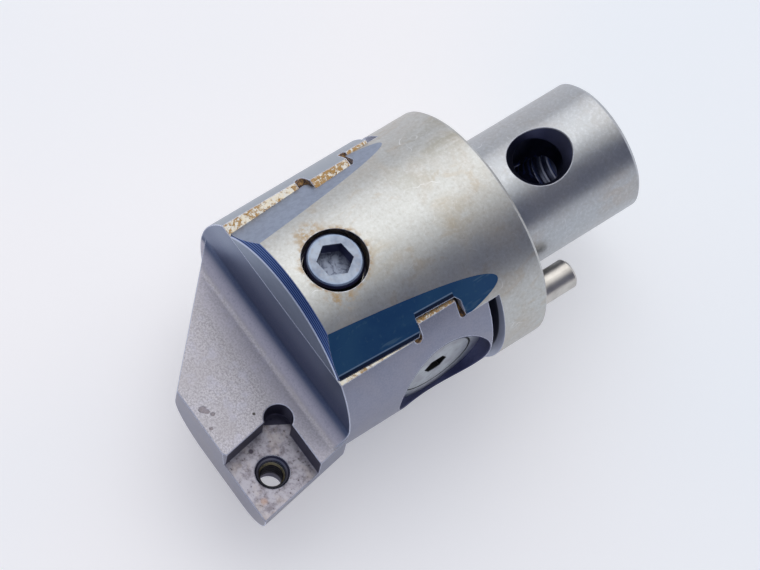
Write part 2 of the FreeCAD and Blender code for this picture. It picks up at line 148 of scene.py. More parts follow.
DIAL_WELL_SHADE = (0.06, 0.07, 0.17)
PIT = (0.15, 0.12, 0.13)
PINHOLE = (0.05, 0.045, 0.04)

CLAMP_FACE = ((0.33, 0.375, 0.45), (0.21, 0.24, 0.31))
CLAMP_SPECKS = (0.30, 0.29, 0.31)
CLAMP_RIM_REFLECTION = (0.24, 0.34, 0.52)
CLAMP_SIDE_SHADE = (0.03, 0.03, 0.07)
CLAMP_EDGE_HIGHLIGHT = (0.60, 0.68, 0.80)
SOCKET = (0.08, 0.085, 0.20)
SOCKET_BOTTOM = ((0.24, 0.27, 0.34), (0.06, 0.07, 0.11))
DIAL_FACE = ((0.47, 0.51, 0.545), (0.37, 0.385, 0.43))
DIAL_SPECKS = (0.26, 0.26, 0.29)
DIAL_GAP_SHADE = (0.03, 0.035, 0.03)
DIAL_TICKS = (0.10, 0.10, 0.10)
DIAL_HOLE_SHADE = (0.04, 0.038, 0.03)
DIAL_EDGE_HIGHLIGHT = (0.60, 0.62, 0.62)
STRAW = ((0.80, 0.72, 0.46), (0.56, 0.50, 0.32))
THREAD_SHADE = (0.07, 0.065, 0.09)
RUBBER = ((0.015, 0.015, 0.016), (0.035, 0.035, 0.037))
PLAIN_EDGE_HIGHLIGHT = (0.66, 0.70, 0.80)
BRONZE_EDGE_HIGHLIGHT = (0.80, 0.62, 0.36)

# Stains on the body: place, radius, strength, colour
BODY_STAINS = (
    ((-7.4, -2.0, 14.2), 5.5, 0.75, (0.36, 0.34, 0.28)),
    ((-5.0, -8.4, 15.2), 4.5, 0.60, (0.38, 0.36, 0.30)),
    ((3.0, -7.5, 15.7), 4.0, 0.50, (0.42, 0.36, 0.27)),
    ((2.5, -19.0, 15.8), 4.0, 0.50, (0.46, 0.40, 0.30)),
    ((8.3, 16.8, 3.4), 4.2, 0.75, (0.50, 0.39, 0.27)),
    ((7.8, 3.0, 4.6), 2.6, 0.75, (0.46, 0.33, 0.20)),
)

# Marks on the insert's seat: place, radius, share of it where the fall starts, strength, colour
SEAT_MARKS = (
    ((9.37, -40.33, SEAT_LEVEL), 0.42, 0.5, 0.80, (0.05, 0.04, 0.06)),
    ((15.66, -42.73, SEAT_LEVEL), 0.70, 0.2, 0.45, (0.42, 0.22, 0.10)),
)

# More places with wear of their own, and a pinhole that gets painted shade; the pits are x, y and
# radius
RUST_LEFT_OF_BORE = (-5.2, -24.2, 14.8)
RUST_RIGHT_OF_BORE = (4.6, -25.6, 15.0)
GOLDEN_PATCHES = ((-12.3, -29.19, GUIDE_LEVEL), (-12.79, -26.16, GUIDE_LEVEL))
RELIEF_CORNER = (8.2, -36.2, SEAT_LEVEL)
PINHOLE_PLACE = (6.37, -38.11, RAKE_LEVEL)
RAKE_PITS = (
    (2.50, -43.07, 0.62), (2.95, -42.85, 0.45), (3.60, -42.37, 0.34), (5.22, -43.58, 0.24))

# Threads shown as ridges: start and way, then bore radius, height, pitch and length
INSERT_THREAD = ((SEAT_CENTRE[0], SEAT_CENTRE[1], SEAT_LEVEL - 0.45), (0, 0, -1))
INSERT_THREAD_SIZES = (1.66, 0.24, 0.60, 3.7)
DRAW_THREAD = ((0, 12.3, 0), (0, 1, 0))
DRAW_THREAD_SIZES = (3.36, 0.30, 1.0, 6.5)
RIDGE_STEPS = 48
CLAMP_TURN = -24.0


def mm(place):
    return tuple(value * MM for value in place)


def shaded(color, share):
    return tuple(value * share for value in color)


class Nodes:
    """Short way to write a node tree."""

    def __init__(self, tree):
        self.tree = tree
        tree.nodes.clear()

    def new(self, kind):
        return self.tree.nodes.new("ShaderNode" + kind)

    def node(self, kind, settings=None, **inputs):
        """New node; an input is named, or given by its index as i0, i1 and so on."""
        made = self.new(kind)
        for key, value in (settings or {}).items():
            setattr(made, key, value)
        for key, value in inputs.items():
            by_index = key[0] == "i" and key[1:].isdigit()
            socket = made.inputs[int(key[1:]) if by_index else key.replace("_", " ")]
            self.set(socket, value)
        return made

    def set(self, socket, value):
        if isinstance(value, bpy.types.NodeSocket):
            self.tree.links.new(value, socket)
        else:
            socket.default_value = value

    def ramp(self, value, low, high, start=0.0, end=1.0):
        """Smooth step from start at low to end at high; low may be the larger of the two."""
        made = self.node(
            "MapRange", {"interpolation_type": "SMOOTHSTEP"},
            Value=value, i1=low, i2=high, i3=start, i4=end)
        return made.outputs[0]

    def rise(self, value, low, high):
        """From 0 to 1 between two lengths in millimetres."""
        return self.ramp(value, low * MM, high * MM)

    def fall(self, value, low, high):
        """From 1 to 0 between two lengths in millimetres."""
        return self.ramp(value, low * MM, high * MM, 1.0, 0.0)

    def math(self, kind, a, b=0.0):
        return self.node("Math", {"operation": kind}, i0=a, i1=b).outputs[0]

    def add(self, a, b):
        return self.math("ADD", a, b)

    def less(self, a, b):
        return self.math("SUBTRACT", a, b)

    def times(self, a, b):
        return self.math("MULTIPLY", a, b)

    def size(self, a):
        return self.math("ABSOLUTE", a)

    def most(self, a, b):
        return self.math("MAXIMUM", a, b)

    def rest(self, mask):
        return self.less(1.0, mask)

    def both(self, first, *masks):
        for mask in masks:
            first = self.times(first, mask)
        return first

    def vector(self, kind, a, b):
        return self.node("VectorMath", {"operation": kind}, i0=a, i1=b)

    def along(self, source, way):
        return self.vector("DOT_PRODUCT", source, Vector(way).normalized()).outputs["Value"]

    def apart(self, place, centre):
        return self.vector("DISTANCE", place, centre).outputs["Value"]

    def mix(self, share, a, b):
        made = self.new("Mix")
        made.data_type = "RGBA"
        for index, value in ((0, share), (6, a), (7, b)):
            if isinstance(value, tuple):
                value = value + (1.0,)
            self.set(made.inputs[index], value)
        return made.outputs[2]

    def over(self, color, mask, paint, share):
        """Paint laid over a colour where the mask is, at a share of its strength."""
        return self.mix(self.times(mask, share), color, paint)


class Material(Nodes):
    """A piece's material, placed in the object's own frame."""

    def __init__(self, name):
        self.material = bpy.data.materials.new(name)
        self.material.use_nodes = True
        super().__init__(self.material.node_tree)
        self.place = self.new("TexCoord").outputs["Object"]

    def noise(self, scale, detail=3.0, rough=0.55, stretch=(1, 1, 1), warp=0.0, place=None):
        mapping = self.node("Mapping", i0=place or self.place)
        mapping.inputs["Scale"].default_value = stretch
        made = self.node(
            "TexNoise", Vector=mapping.outputs[0], Scale=scale, Detail=detail, Roughness=rough,
            Distortion=warp)
        return made.outputs[0]

    def near(self, centre, radius, start):
        """1 close to a point, 0 beyond a radius; start is the share of it where the fall starts."""
        return self.fall(self.apart(self.place, mm(centre)), radius * start, radius)

    def finish(self, color, roughness, height, strength, distance, normal=None, metallic=1.0):
        """Principled shader, with a bump laid over the given normal."""
        bump = self.node("Bump", Height=height, Strength=strength, Distance=distance * MM)
        if normal is not None:
            self.set(bump.inputs["Normal"], normal)
        shader = self.node(
            "BsdfPrincipled", Base_Color=color, Metallic=metallic, Roughness=roughness,
            Normal=bump.outputs[0])
        self.node("OutputMaterial", Surface=shader.outputs[0])
        return self.material


class Surface(Material):
    """A metal surface with the regions, wear and painted edge highlights that the pieces share."""

    def __init__(self, name):
        super().__init__(name)
        self.x, self.y, self.z = self.node("SeparateXYZ", i0=self.place).outputs
        self.real_normal = self.new("NewGeometry").outputs["Normal"]
        to_object = {"vector_type": "NORMAL", "convert_from": "WORLD", "convert_to": "OBJECT"}
        self.face = self.node("VectorTransform", to_object, i0=self.real_normal).outputs[0]
        self.nx, self.ny, self.nz = self.node("SeparateXYZ", i0=self.face).outputs
        self.height_above = self.size(self.z)

    def faces(self, way, low, high):
        return self.ramp(self.along(self.face, way), low, high)

    def on_flats(self, way):
        """1 on a milled flat and on its mirror image below, told from the round wall by lean."""
        below = (way[0], way[1], -way[2])
        return self.most(self.faces(way, *FLAT_LEAN), self.faces(below, *FLAT_LEAN))

    def between(self, value, low, high, edge):
        rise = self.ramp(value, low - edge, low + edge)
        fall = self.ramp(value, high - edge, high + edge, 1.0, 0.0)
        return self.times(rise, fall)

    def between_mm(self, value, low, high, edge):
        return self.between(value, low * MM, high * MM, edge * MM)

    def from_axis(self, centre, axis):
        """Distance from the line through a point along the named axis."""
        parts = {"X": self.x, "Y": self.y, "Z": self.z}
        parts[axis] = 0.0
        place = self.node("CombineXYZ", **parts).outputs[0]
        on_line = (0.0 if name == axis else value for name, value in zip("XYZ", mm(centre)))
        return self.apart(place, tuple(on_line))

    def painted_edge_lines(self, radius):
        """1 on the shape's edges, where a painted highlight goes, and the rounded normal."""
        rounded = self.node("Bevel", {"samples": 6}, Radius=radius * MM).outputs[0]
        agreement = self.vector("DOT_PRODUCT", rounded, self.real_normal).outputs["Value"]
        return self.ramp(agreement, 0.90, 0.99, 1.0, 0.0), rounded

    def scratches(self, scale, width, turn=0.0):
        """Thin broken lines; a second noise decides where they show."""
        mapping = self.node("Mapping", i0=self.place)
        mapping.inputs["Rotation"].default_value = (turn, turn * 0.6, turn * 1.3)
        bent = self.node(
            "TexNoise", Vector=mapping.outputs[0], Scale=scale, Detail=1.5, Roughness=0.4)
        off_middle = self.size(self.less(bent.outputs[0], 0.5))
        line = self.ramp(off_middle, 0.0, width, 1.0, 0.0)
        return self.times(line, self.ramp(self.noise(scale * 1.7, 2.0), 0.50, 0.72))


def make_camera():
    data = bpy.data.cameras.new("photo_camera")
    data.lens = CAMERA_LENS
    data.sensor_width = SENSOR_WIDTH
    data.clip_start = 0.01
    data.clip_end = 50.0
    camera = bpy.data.objects.new("photo_camera", data)
    bpy.context.scene.collection.objects.link(camera)
    rotation = Matrix((CAMERA_RIGHT, -CAMERA_DOWN, -CAMERA_FORWARD)).transposed()
    camera.matrix_world = Matrix.Translation(Vector(mm(CAMERA_PLACE))) @ rotation.to_4x4()
    bpy.context.scene.camera = camera


def make_world():
    """Pale studio: bright ceiling, darker side at +X, dark blue side at -Y, pale horizon."""
    world = bpy.data.worlds.new("studio")
    world.use_nodes = True
    bpy.context.scene.world = world
    n = Nodes(world.node_tree)
    direction = n.new("TexCoord").outputs["Generated"]

    def towards(way, low, high):
        return n.ramp(n.along(direction, way), low, high)

    color = n.mix(towards(CEILING_WAY, 0.55, 1.0), *CEILING)
    color = n.mix(towards(DARK_WAY, 0.70, 0.90), color, DARK_SIDE)
    color = n.mix(towards(BLUE_WAY, 0.50, 0.85), color, BLUE_SIDE)
    up = n.node("SeparateXYZ", i0=direction).outputs[2]
    color = n.mix(n.ramp(up, 0.12, 0.20, 1.0, 0.0), color, HORIZON)
    background = n.node("Background", Color=color, Strength=1.0)
    n.node("OutputWorld", Surface=background.outputs[0])


def make_lamp():
    data = bpy.data.lights.new("key", "AREA")
    data.shape = "DISK"
    data.size = LAMP_SIZE
    data.energy = LAMP_WATTS
    data.color = LAMP_COLOR
    lamp = bpy.data.objects.new("key", data)
    bpy.context.scene.collection.objects.link(lamp)
    lamp.location = Vector(LAMP_PLACE)
    aim = Vector(LAMP_AIM) - lamp.location
    lamp.rotation_euler = aim.to_track_quat("-Z", "Y").to_euler()


def make_floor():
    """Pale floor that takes shadows and glows a little, to the camera and in reflections."""
    mesh = bpy.data.meshes.new("floor")
    corners = [
        (x * FLOOR_HALF, y * FLOOR_HALF, FLOOR_LEVEL * MM)
        for x, y in ((-1, -1), (1, -1), (1, 1), (-1, 1))]
    mesh.from_pydata(corners, [], [(0, 1, 2, 3)])
    floor = bpy.data.objects.new("floor", mesh)
    bpy.context.scene.collection.objects.link(floor)
    n = Material("floor_paper")
    color = n.mix(n.ramp(n.noise(9.0, 2.0), 0.35, 0.65), *PAPER)
    diffuse = n.node("BsdfDiffuse", Color=color)
    glow = n.node("Emission", Color=color, Strength=FLOOR_GLOW)
    lit = n.node("AddShader", i0=diffuse.outputs[0], i1=glow.outputs[0])
    path = n.new("LightPath").outputs
    mirrored = n.most(path["Is Glossy Ray"], path["Is Transmission Ray"])
    seen = n.most(path["Is Camera Ray"], mirrored)
    shown = n.node("MixShader", i0=seen, i1=diffuse.outputs[0], i2=lit.outputs[0])
    n.node("OutputMaterial", Surface=shown.outputs[0])
    mesh.materials.append(n.material)


def turned_lines(n):
    """Fine lines that run round the tool axis."""
    angle = n.math("ARCTAN2", n.x, n.z)
    unrolled = n.node("CombineXYZ", X=n.times(angle, 1.2), Y=n.times(n.y, TURNED_LINES), Z=0.0)
    return n.noise(1.0, 3.0, place=unrolled.outputs[0])


def body_tarnish(n, cloud, fine, shank):
    """Ground steel with brown tarnish, stains in their places, grit and nicks."""
    smear = n.noise(320.0, 4.0, 0.65, warp=0.8, stretch=(1.0, 0.55, 1.0))
    color = n.over(STEEL, n.ramp(cloud, 0.42, 0.72), STAIN, 0.65)
    color = n.over(color, n.ramp(smear, 0.54, 0.68), SMEAR, 0.42)
    color = n.over(color, n.ramp(fine, 0.54, 0.72), SPECKS, 0.24)
    broken = n.ramp(smear, 0.36, 0.60)
    for place, radius, share, stain in BODY_STAINS:
        color = n.over(color, n.times(n.near(place, radius, 0.25), broken), stain, share)
    color = n.over(color, shank, SHANK_STEEL, 0.55)
    grit = n.noise(2300.0, 3.0, 0.7)
    color = n.over(color, n.ramp(grit, 0.52, 0.66), GRIT_DARK, 0.28)
    color = n.over(color, n.ramp(grit, 0.48, 0.36), GRIT_LIGHT, 0.20)
    return n.over(color, n.scratches(240.0, 0.004, turn=0.8), NICK, 0.65)


def counterbore_rust(n, from_clamp):
    """Rust round the clamp screw's counterbore, most at its left and lower right."""
    ring = n.times(n.fall(from_clamp, 4.4, 7.4), n.rise(n.z, 13.0, 14.0))
    sides = n.most(n.near(RUST_LEFT_OF_BORE, 3.2, 0.2), n.near(RUST_RIGHT_OF_BORE, 3.0, 0.2))
    rim = n.times(n.fall(from_clamp, 4.2, 5.0), 0.8)
    flakes = n.ramp(n.noise(950.0, 4.0, 0.7), 0.40, 0.62)
    return n.both(flakes, ring, n.most(sides, rim))


def right_flat_color(n, cloud, fine):
    """Right-hand flats: painted blue reflection, lighter towards the rear, with specks and streaks,
    a painted shade band at the guide and a painted highlight line above it.
    """
    streaks = n.noise(900.0, 3.0, 0.6, stretch=(1.0, 0.16, 1.0))
    # painted blue reflection on the flats, lighter towards the rear
    color = n.mix(n.ramp(cloud, 0.35, 0.7), *FLAT_BLUE_REFLECTION)
    color = n.over(color, n.rise(n.y, -14.0, -7.0), FLAT_REAR_REFLECTION, 0.7)
    color = n.over(color, n.ramp(fine, 0.56, 0.72), FLAT_SPECKS, 0.40)
    color = n.over(color, n.ramp(streaks, 0.62, 0.70), FLAT_STREAKS, 0.30)
    at_tongue = n.times(n.rise(n.y, *TONGUE_FRONT), n.fall(n.y, *TONGUE_BACK))
    lip = n.add(LIP_LEVEL * MM, n.times(at_tongue, LIP_OVER_TONGUE * MM))
    lip = n.add(lip, n.times(n.rise(n.y, *TONGUE_BACK), LIP_BEHIND_TONGUE * MM))
    above_lip = n.less(n.height_above, lip)
    ahead = n.fall(n.y, -12.0, -11.5)
    # painted shade band along the guide
    color = n.over(color, n.times(ahead, n.fall(above_lip, 0.38, 0.44)), LIP_SHADE, 0.92)
    # painted highlight line just above the shade band
    line = n.between_mm(above_lip, 0.45, 0.56, 0.04)
    return n.over(color, n.times(ahead, line), LIP_HIGHLIGHT, 0.8)


def body_front(n, color, radius, fine):
    """Front chamfer with painted reflection bands along its turned lines, and the jaws' front faces
    with painted reflection and a painted highlight along their border.
    """
    chamfer = n.both(
        n.between(n.ny, -0.90, -0.40, 0.04), n.rise(radius, 14.6, 14.8),
        n.rise(n.y, -28.6, -28.9))
    # painted reflection bands on the front chamfer
    rings = n.ramp(n.math("SINE", n.times(radius, CHAMFER_RINGS)), -0.6, 0.8)
    color = n.mix(chamfer, color, n.mix(rings, *CHAMFER_REFLECTION))
    at_front = n.rise(n.y, -30.0, -30.2)
    jaws = n.times(n.faces(FORWARD, 0.95, 0.98), at_front)
    # painted reflection on the jaws' front faces
    color = n.mix(jaws, color, n.mix(fine, *JAW_FRONT_REFLECTION))
    # painted highlight along the jaws' front border
    border = n.times(n.between_mm(radius, 14.86, 15.02, 0.04), at_front)
    return n.over(color, border, JAW_BORDER_HIGHLIGHT, 0.75)


def body_bores(n, color, radius, from_clamp):
    """The shank's holes and the clamp screw's counterbore are painted dark as shade, with a painted
    bluish glint along the small bore's thread.
    """
    thread = n.ramp(n.math("SINE", n.times(n.y, BORE_THREAD)), 0.2, 0.9)
    thread = n.times(thread, n.rise(radius, 3.5, 3.3))
    shank_holes = n.both(
        n.fall(radius, 8.80, 8.94), n.rise(n.y, 0.5, 1.0), n.rise(n.y, 20.0, 19.9))
    # painted shade in the shank's holes, with painted glints on the thread
    color = n.over(color, shank_holes, n.mix(thread, *BORE_SHADE_AND_GLINT), 0.96)
    # painted shade in the counterbore
    counterbore = n.times(n.fall(from_clamp, 4.1, 4.25), n.rise(n.height_above, 15.9, 15.6))
    return n.over(color, counterbore, COUNTERBORE_SHADE, 0.96)


def slot_floor(n, color, radius):
    """The slot's rear wall: painted pale light, painted shade deep inside, and a pale painted
    reflection on the rim where the slide ends.
    """
    slot = n.both(
        n.faces(FORWARD, 0.97, 0.99), n.rise(n.height_above, 11.0, 10.8),
        n.rise(n.y, -1.0, -1.2), n.rise(n.y, -26.0, -25.0))
    # painted light on the slot wall, a paler painted reflection on its rim, painted shade deep
    # inside
    color = n.mix(slot, color, SLOT_FLOOR_LIGHT)
    color = n.mix(n.times(slot, n.rise(radius, 14.0, 14.4)), color, SLOT_RIM_REFLECTION)
    return n.over(color, n.times(slot, n.fall(radius, 14.6, 14.9)), SLOT_DEEP_SHADE, 0.95), slot


def body_material():
    n = Surface("ground_steel")
    cloud = n.noise(150.0, 4.0, 0.62, warp=0.6)
    fine = n.noise(1300.0, 3.0, 0.65)
    shank = n.rise(n.y, 0.0, 0.3)
    radius = n.from_axis((0, 0, 0), "Y")
    from_clamp = n.from_axis(CLAMP_CENTRE, "Z")

    color = body_tarnish(n, cloud, fine, shank)
    rust = counterbore_rust(n, from_clamp)
    color = n.over(color, rust, BORE_RUST, 0.85)
    color = n.mix(n.on_flats(RIGHT_FLAT), color, right_flat_color(n, cloud, fine))
    # painted grey-blue reflection on the left-hand flats
    grey = n.mix(n.ramp(fine, 0.4, 0.65), LEFT_FLAT_REFLECTION, shaded(LEFT_FLAT_REFLECTION, 0.88))
    color = n.mix(n.on_flats(LEFT_FLAT), color, grey)
    color = body_front(n, color, radius, fine)
    color = body_bores(n, color, radius, from_clamp)
    color, slot = slot_floor(n, color, radius)

    edge, rounded = n.painted_edge_lines(0.16)
    # painted highlight along the body's edges
    color = n.over(color, edge, BODY_EDGE_HIGHLIGHT, 0.65)
    rough = n.less(n.add(0.29, n.times(cloud, 0.18)), n.times(shank, 0.03))
    rough = n.add(rough, n.times(rust, 0.3))
    metal = n.rest(n.most(n.times(rust, 0.6), n.times(slot, 0.6)))
    height = n.add(n.times(fine, 0.4), n.times(rust, 0.8))
    height = n.add(n.times(turned_lines(n), 0.7), height)
    return n.finish(color, rough, height, 0.22, 0.04, rounded, metal)


def holder_wall(n, color, speck):
    """Wall over the rake: painted dark blue reflection, darkest above its fillet, paler painted
    reflection on the fillet, and a violet painted reflection at its foot.
    """
    wall = n.both(
        n.rise(n.y, -30.35, -30.39), n.ramp(n.ny, -0.15, -0.45),
        n.rise(n.y, -34.5, -34.0), n.ramp(n.nx, -0.4, -0.3))
    # painted reflection on the wall: dark blue, darker low down, paler on the fillet
    shade = n.mix(n.rise(n.z, 3.0, 8.0), *WALL_REFLECTION)
    shade = n.mix(n.rise(n.z, 0.8, -0.6), shade, FILLET_REFLECTION)
    shade = n.over(shade, n.ramp(speck, 0.45, 0.7), WALL_SPECKS, 0.35)
    color = n.mix(wall, color, shade)
    # painted violet reflection at the wall's foot
    foot = n.times(n.between_mm(n.y, -35.2, -32.6, 0.8), n.ramp(n.nz, 0.75, 0.95))
    return n.over(color, foot, FOOT_REFLECTION, 0.40), wall


def guide_strips(n, color):
    """Cream and rusty strips where the slide shows beside the jaws, and rusty undercuts."""
    level = n.ramp(n.size(n.nz), 0.9, 0.97)
    strip = n.times(level, n.rise(n.height_above, GUIDE_LEVEL, GUIDE_LEVEL + 0.1))
    patch = n.noise(430.0, 6.0, 0.78, warp=0.5)
    grain = n.noise(2300.0, 3.0, 0.65)
    golden = n.most(*(n.near(place, 1.6, 0.3) for place in GOLDEN_PATCHES))
    more = n.add(n.times(n.rise(n.y, -20.5, -18.0), 0.10), n.times(golden, 0.13))
    rust = n.times(n.ramp(n.add(patch, more), 0.47, 0.56), n.ramp(grain, 0.42, 0.54))
    paint = n.mix(n.ramp(grain, 0.3, 0.7), *CREAM)
    paint = n.mix(rust, paint, RUST)
    dots = n.times(n.ramp(n.noise(2600.0, 3.0, 0.7), 0.57, 0.66), n.ramp(patch, 0.50, 0.56))
    paint = n.mix(dots, paint, DEEP_RUST)
    flecks = n.ramp(n.noise(3300.0, 3.0, 0.7), 0.58, 0.66)
    color = n.mix(strip, color, n.over(paint, flecks, FLECKS, 0.7))

    undercut = n.both(
        n.most(*(n.between_mm(n.y, low, high, 0.15) for low, high in UNDERCUTS)),
        n.rise(n.height_above, 8.6, 8.9), n.ramp(n.size(n.nx), 0.35, 0.2), n.rest(strip))
    color = n.mix(undercut, color, n.mix(n.ramp(grain, 0.42, 0.58), *UNDERCUT_RUST))
    return color, n.most(n.times(strip, rust), n.times(undercut, 0.7))


def slide_sides(n, color, cloud, wall):
    """The slide's round ends and the holder's sides get a patchy painted reflection, a little
    violet.
    """
    patchy = n.ramp(cloud, 0.4, 0.65)
    side = n.times(n.ramp(n.size(n.nx), 0.5, 0.8), n.ramp(n.size(n.ny), 0.35, 0.25))
    # patchy violet painted reflection on the round ends and sides
    color = n.over(color, side, n.mix(patchy, *SLIDE_SIDE_REFLECTION), 0.8)
    left_end = n.times(n.ramp(n.nx, -0.5, -0.7), n.rise(n.y, -30.6, -30.2))
    color = n.over(color, left_end, LEFT_END, 0.8)
    under_nose = n.both(n.rise(n.y, -30.2, -30.6), n.ramp(n.nz, 0.5, 0.3), n.rest(wall))
    return n.over(color, under_nose, n.mix(patchy, *NOSE_UNDERSIDE), 0.8)


def insert_pocket(n, color):
    """Insert pocket: painted shade on its walls, mottled seat, painted shade in the screw hole, and
    painted shade that makes the relief look deeper.
    """
    from_screw = n.from_axis(SEAT_CENTRE, "Z")
    low = n.both(
        n.rise(n.z, RAKE_LEVEL - 0.05, RAKE_LEVEL - 0.15), n.rise(from_screw, 9.5, 9.4),
        n.rise(n.z, SEAT_LEVEL - 0.4, SEAT_LEVEL - 0.2))
    outer = n.times(n.faces(NOSE_SIDE, 0.98, 0.99), n.rise(n.x, 14.0, 14.5))
    walls = n.both(
        low, n.ramp(n.nz, 0.6, 0.3), n.rise(n.x, 6.4, 6.6), n.rise(n.y, -43.98, -43.90),
        n.rest(outer))
    # painted shade on the pocket's walls
    color = n.over(color, walls, POCKET_WALL_SHADE, 0.85)

    seat = n.times(low, n.ramp(n.nz, 0.9, 0.98))
    paint = n.mix(n.ramp(n.noise(1150.0, 5.0, 0.7), 0.40, 0.64), *SEAT)
    paint = n.over(paint, n.ramp(n.noise(420.0, 3.0, 0.6), 0.52, 0.68), SEAT_WARM, 0.32)
    color = n.mix(seat, color, paint)
    dots = n.ramp(n.noise(2300.0, 3.0, 0.7), 0.62, 0.70)
    color = n.mix(n.times(seat, dots), color, SEAT_DOTS)
    for place, radius, start, share, mark in SEAT_MARKS:
        color = n.over(color, n.near(place, radius, start), mark, share)

    hole = n.both(
        n.fall(from_screw, 2.2, 2.3), n.ramp(n.nz, 0.9, 0.8), n.rise(n.y, -36.0, -37.0))
    chamfer = n.between(n.nz, 0.30, 0.85, 0.05)
    chamfer = n.times(chamfer, n.between_mm(from_screw, 1.76, 1.96, 0.04))
    # painted shade in the screw hole, lighter on its chamfer
    color = n.over(color, hole, n.mix(chamfer, *SCREW_HOLE_SHADE), 0.92)
    relief = n.both(
        seat, n.rise(n.along(n.place, RELIEF_WAY), -24.97, -24.85), n.rise(n.y, -38.0, -37.9))
    # painted shade that makes the relief look deeper
    color = n.over(color, relief, RELIEF, 0.92)
    return color, walls, n.times(seat, n.near(RELIEF_CORNER, 9.0, 0.85))


def rake_pits(n):
    """Pits with ragged outlines in the rake."""
    wobble = n.node("TexNoise", Vector=n.place, Scale=900.0, Detail=2.0).outputs[1]
    shift = n.node(
        "VectorMath", {"operation": "MULTIPLY_ADD"},
        i0=wobble, i1=mm((0.7, 0.7, 0.0)), i2=mm((-0.35, -0.35, 0.0)))
    ragged = n.vector("ADD", n.place, shift.outputs[0]).outputs[0]
    pits = 0.0
    for x, y, radius in RAKE_PITS:
        from_pit = n.apart(ragged, mm((x, y, RAKE_LEVEL)))
        pits = n.most(pits, n.fall(from_pit, radius * 0.7, radius))
    return pits


def slide_material():
    n = Surface("slide_steel")
    cloud = n.noise(140.0, 4.0, 0.6, warp=0.5)
    speck = n.noise(3900.0, 3.0, 0.75)
    color = n.mix(n.ramp(speck, 0.38, 0.62), shaded(HOLDER, 0.74), shaded(HOLDER, 1.22))
    color = n.over(color, n.ramp(cloud, 0.45, 0.7), HOLDER_CLOUD, 0.5)
    color = n.over(color, n.ramp(n.noise(600.0, 3.0), 0.5, 0.7), HOLDER_SHEEN, 0.3)
    color, wall = holder_wall(n, color, speck)
    color, rust = guide_strips(n, color)
    color = slide_sides(n, color, cloud, wall)
    color, pocket_walls, relief_floor = insert_pocket(n, color)

    dial_well_shade = n.times(n.fall(n.from_axis(DIAL_CENTRE, "X"), 7.0, 7.02), n.rise(n.x, 0.0, 1.0))
    # painted shade in the well round the dial
    color = n.over(color, dial_well_shade, DIAL_WELL_SHADE, 0.9)
    pits = rake_pits(n)
    color = n.over(color, pits, PIT, 0.62)
    # painted shade in a pinhole
    color = n.over(color, n.near(PINHOLE_PLACE, 0.25, 0.6), PINHOLE, 0.92)

    edge, rounded = n.painted_edge_lines(0.30)
    edge = n.both(edge, n.rest(n.most(pocket_walls, dial_well_shade)), n.rest(relief_floor))
    # painted highlight along the slide's edges, left out in the pocket, the dial well and the
    # relief
    color = n.over(color, edge, SLIDE_EDGE_HIGHLIGHT, 0.9)
    fillet = n.times(wall, n.rise(n.z, 1.8, 0.8))
    rough = n.add(n.add(0.36, n.times(speck, 0.16)), n.times(rust, 0.3))
    rough = n.add(n.less(rough, n.times(wall, 0.12)), n.times(fillet, 0.30))
    metal = n.rest(n.most(n.times(rust, 0.85), n.times(fillet, 0.6)))
    height = n.add(n.times(speck, 0.6), n.times(n.noise(5200.0, 2.0, 0.6), 0.4))
    height = n.add(height, n.less(n.times(rust, 1.2), n.times(pits, 2.5)))
    return n.finish(color, rough, height, 0.30, 0.06, rounded, metal)


def plain_metal(name, tint, rough, edge_highlight=PLAIN_EDGE_HIGHLIGHT):
    """Clean metal of the inner pieces, with soft clouds, scratches and painted highlights on the
    edges.
    """
    n = Surface(name)
    grain = n.noise(1500.0, 3.0, 0.6)
    color = n.mix(n.ramp(n.noise(300.0, 3.0, 0.6), 0.35, 0.7), tint, shaded(tint, 0.75))
    color = n.over(color, n.scratches(500.0, 0.008), shaded(tint, 0.5), 0.4)
    edge, rounded = n.painted_edge_lines(0.12)
    # painted highlight along the edges
    color = n.over(color, edge, edge_highlight, 0.5)
    return n.finish(color, n.add(rough, n.times(grain, 0.14)), grain, 0.2, 0.03, rounded)


def clamp_material():
    """Clamp screw: pale mottled ring with a painted bluish reflection at its rim, painted shade in
    the socket with a rough grey bottom, and painted shade on the head's side.
    """
    n = Surface("screw_steel")
    from_clamp = n.from_axis(CLAMP_CENTRE, "Z")
    grain = n.noise(1500.0, 4.0, 0.65)
    color = n.mix(n.ramp(n.noise(420.0, 3.0, 0.6), 0.38, 0.66), *CLAMP_FACE)
    color = n.over(color, n.ramp(grain, 0.52, 0.68), CLAMP_SPECKS, 0.5)
    # painted bluish reflection on the head's outer rim
    color = n.over(color, n.rise(from_clamp, 2.95, 3.35), CLAMP_RIM_REFLECTION, 0.45)
    socket = n.times(n.rise(from_clamp, 2.45, 2.35), n.rise(n.z, 15.75, 15.5))
    # painted shade in the socket
    color = n.over(color, socket, SOCKET, 0.96)
    bottom = n.times(socket, n.ramp(n.nz, 0.9, 0.98))
    lumps = n.noise(900.0, 5.0, 0.7, warp=0.8)
    color = n.mix(bottom, color, n.mix(n.ramp(lumps, 0.42, 0.66), *SOCKET_BOTTOM))
    # painted shade on the head's side, down in the counterbore
    color = n.mix(n.rise(from_clamp, 3.43, 3.52), color, CLAMP_SIDE_SHADE)
    edge, rounded = n.painted_edge_lines(0.12)
    # painted highlight along the edges, not in the socket
    color = n.over(color, n.times(edge, n.rest(socket)), CLAMP_EDGE_HIGHLIGHT, 0.4)
    rough = n.add(0.34, n.times(grain, 0.16))
    height = n.add(n.times(grain, 0.5), n.times(n.times(bottom, lumps), 3.0))
    return n.finish(color, rough, height, 0.35, 0.05, rounded)


